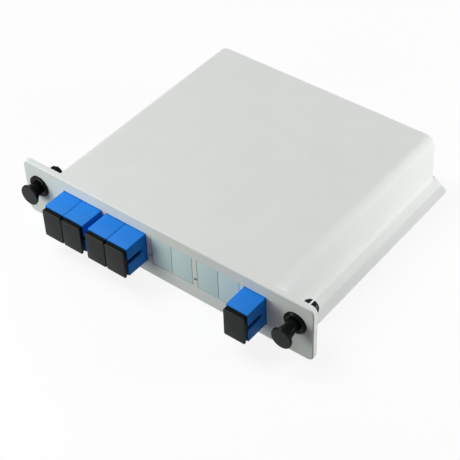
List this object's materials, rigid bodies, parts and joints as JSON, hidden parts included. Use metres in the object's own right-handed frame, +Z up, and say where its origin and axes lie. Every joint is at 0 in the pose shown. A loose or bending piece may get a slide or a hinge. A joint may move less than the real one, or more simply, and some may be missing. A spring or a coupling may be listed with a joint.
{
  "type": "plc fibre splitter cassette",
  "caption": "Slim plug-in cassette with an optical splitter inside, capped fibre adapters, blanking plates and push latches on its front panel, and side rails.",
  "frame": {"origin": "middle of the footprint, at the level of the underside", "axes": "+X along the front panel to the right seen from the front, +Y from the panel to the rear, +Z up"},
  "size_m": [0.13, 0.1118, 0.0241],
  "materials": {
    "case_plastic": "satin, fine moulded grain",
    "blank_plastic": "satin",
    "adapter_blue": "semi gloss",
    "holder_plastic": "satin",
    "cap_plastic": "matte",
    "latch_nylon": "semi gloss",
    "boot_rubber": "matte",
    "fibre_jacket": "satin",
    "module_steel": "brushed",
    "screw_steel": "zinc plated",
    "chip_glass": "polished",
    "foam_tape": "matte"
  },
  "bodies": {
    "case": {"case_body": "case_plastic", "bottom_cover": "case_plastic", "cover_screws": "screw_steel", "latch_grommets": "latch_nylon", "adapter_out_1": "adapter_blue", "adapter_out_2": "adapter_blue", "adapter_out_3": "adapter_blue", "adapter_out_4": "adapter_blue", "adapter_in": "adapter_blue", "blank_plate_1": "blank_plastic", "blank_plate_2": "blank_plastic", "blank_plate_3": "blank_plastic", "blank_plate_4": "blank_plastic", "sleeve_holder_out_1": "holder_plastic", "plug_out_1": "adapter_blue", "sleeve_holder_out_2": "holder_plastic", "plug_out_2": "adapter_blue", "sleeve_holder_out_3": "holder_plastic", "plug_out_3": "adapter_blue", "sleeve_holder_out_4": "holder_plastic", "plug_out_4": "adapter_blue", "sleeve_holder_in": "holder_plastic", "plug_in": "adapter_blue", "fibre_out_1": "fibre_jacket", "fibre_out_2": "fibre_jacket", "fibre_out_3": "fibre_jacket", "fibre_out_4": "fibre_jacket", "fibre_in": "fibre_jacket", "module_tube": "module_steel", "module_end_in": "boot_rubber", "module_end_out": "boot_rubber", "waveguide_chip": "chip_glass", "module_pad": "foam_tape", "fibre_clip_rear": "holder_plastic", "fibre_clip_side": "holder_plastic"},
    "plunger_left": {"latch_plunger_left": "latch_nylon"},
    "plunger_right": {"latch_plunger_right": "latch_nylon"},
    "cap_out_1": {"dust_cap_out_1": "cap_plastic"},
    "cap_out_2": {"dust_cap_out_2": "cap_plastic"},
    "cap_out_3": {"dust_cap_out_3": "cap_plastic"},
    "cap_out_4": {"dust_cap_out_4": "cap_plastic"},
    "cap_in": {"dust_cap_in": "cap_plastic"}
  },
  "joints": [
    {"name": "latch_left_slide", "type": "slide", "parent": "case", "child": "plunger_left", "axis": [0, 1, 0], "range_m": [-0.0024, 0]},
    {"name": "latch_right_slide", "type": "slide", "parent": "case", "child": "plunger_right", "axis": [0, 1, 0], "range_m": [0, 0.0024]},
    {"name": "cap_out_1_slide", "type": "slide", "parent": "case", "child": "cap_out_1", "axis": [0, -1, 0], "range_m": [0, 0.012]},
    {"name": "cap_out_2_slide", "type": "slide", "parent": "case", "child": "cap_out_2", "axis": [0, -1, 0], "range_m": [0, 0.012]},
    {"name": "cap_out_3_slide", "type": "slide", "parent": "case", "child": "cap_out_3", "axis": [0, -1, 0], "range_m": [0, 0.012]},
    {"name": "cap_out_4_slide", "type": "slide", "parent": "case", "child": "cap_out_4", "axis": [0, -1, 0], "range_m": [0, 0.012]},
    {"name": "cap_in_slide", "type": "slide", "parent": "case", "child": "cap_in", "axis": [0, -1, 0], "range_m": [0, 0.012]}
  ]
}
